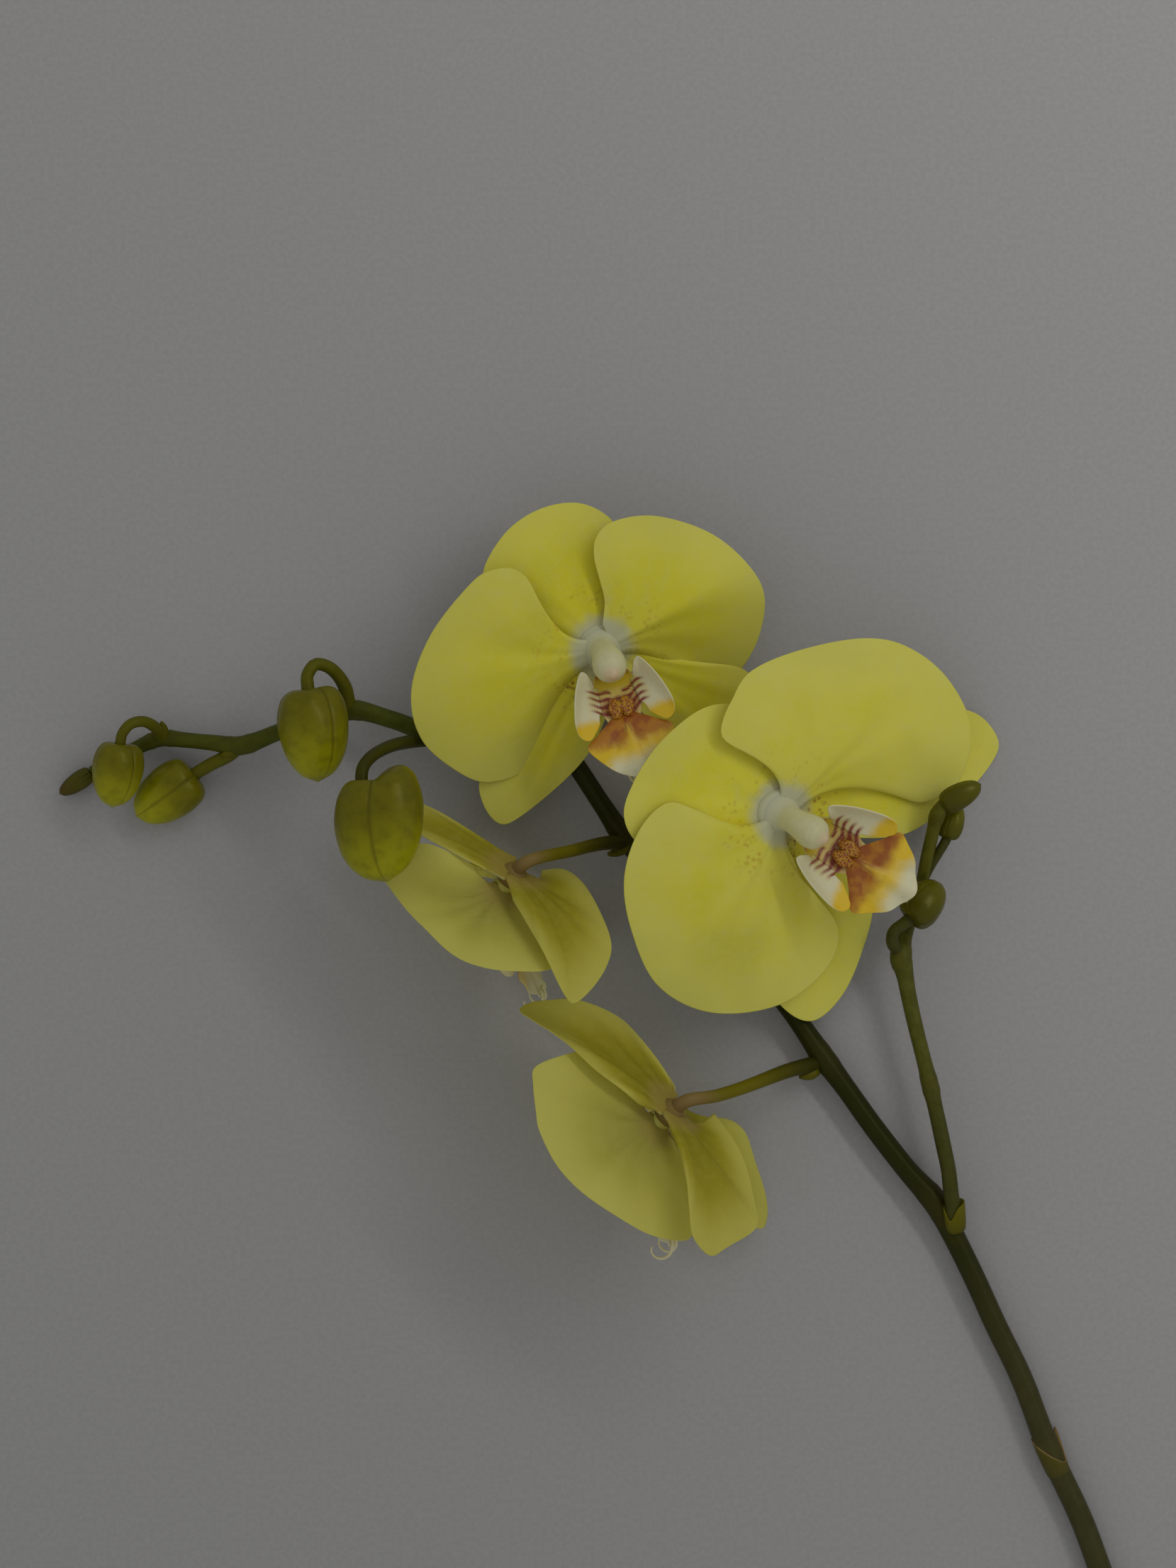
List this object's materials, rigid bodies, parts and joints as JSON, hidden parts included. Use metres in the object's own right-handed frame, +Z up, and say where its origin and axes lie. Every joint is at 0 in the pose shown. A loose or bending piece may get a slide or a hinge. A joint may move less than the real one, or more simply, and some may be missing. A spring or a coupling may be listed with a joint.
{
  "type": "moth orchid stem",
  "caption": "Cut flowering stem of a yellow moth orchid lying on its side, with open blooms, closed buds and a short side branch.",
  "frame": {"origin": "centre of the part's bounding box in plan, on the table it lies on", "axes": "+Z up from the table; +Y towards the flowering end in the picture's upward direction, +X to the picture's right, so the cut end is at +X -Y"},
  "size_m": [0.2637, 0.2994, 0.0568],
  "materials": {
    "stem": "dark green, satin, brownish at the nodes",
    "branch": "green, satin",
    "bud": "olive green, waxy",
    "sepal": "yellow, soft satin",
    "petal": "yellow, soft satin, faintly veined",
    "lip": "white with yellow and red-orange, soft satin",
    "column": "cream white, soft satin"
  },
  "bodies": {
    "root": {"main_stem": "stem", "side_branch": "branch", "bud_heart": "bud", "bud_second": "bud", "bud_third": "bud", "bud_fourth": "bud", "bud_tip": "bud", "side_bud_large": "bud", "side_bud_small": "bud", "side_bud_tip": "bud", "flower_1_dorsal_sepal": "sepal", "flower_1_left_sepal": "sepal", "flower_1_right_sepal": "sepal", "flower_1_left_petal": "petal", "flower_1_right_petal": "petal", "flower_1_lip": "lip", "flower_1_column": "column", "flower_2_dorsal_sepal": "sepal", "flower_2_left_sepal": "sepal", "flower_2_right_sepal": "sepal", "flower_2_left_petal": "petal", "flower_2_right_petal": "petal", "flower_2_lip": "lip", "flower_2_column": "column", "flower_3_dorsal_sepal": "sepal", "flower_3_left_sepal": "sepal", "flower_3_right_sepal": "sepal", "flower_3_left_petal": "petal", "flower_3_right_petal": "petal", "flower_3_lip": "lip", "flower_3_column": "column", "flower_4_dorsal_sepal": "sepal", "flower_4_left_sepal": "sepal", "flower_4_right_sepal": "sepal", "flower_4_left_petal": "petal", "flower_4_right_petal": "petal", "flower_4_lip": "lip", "flower_4_column": "column"}
  },
  "joints": []
}
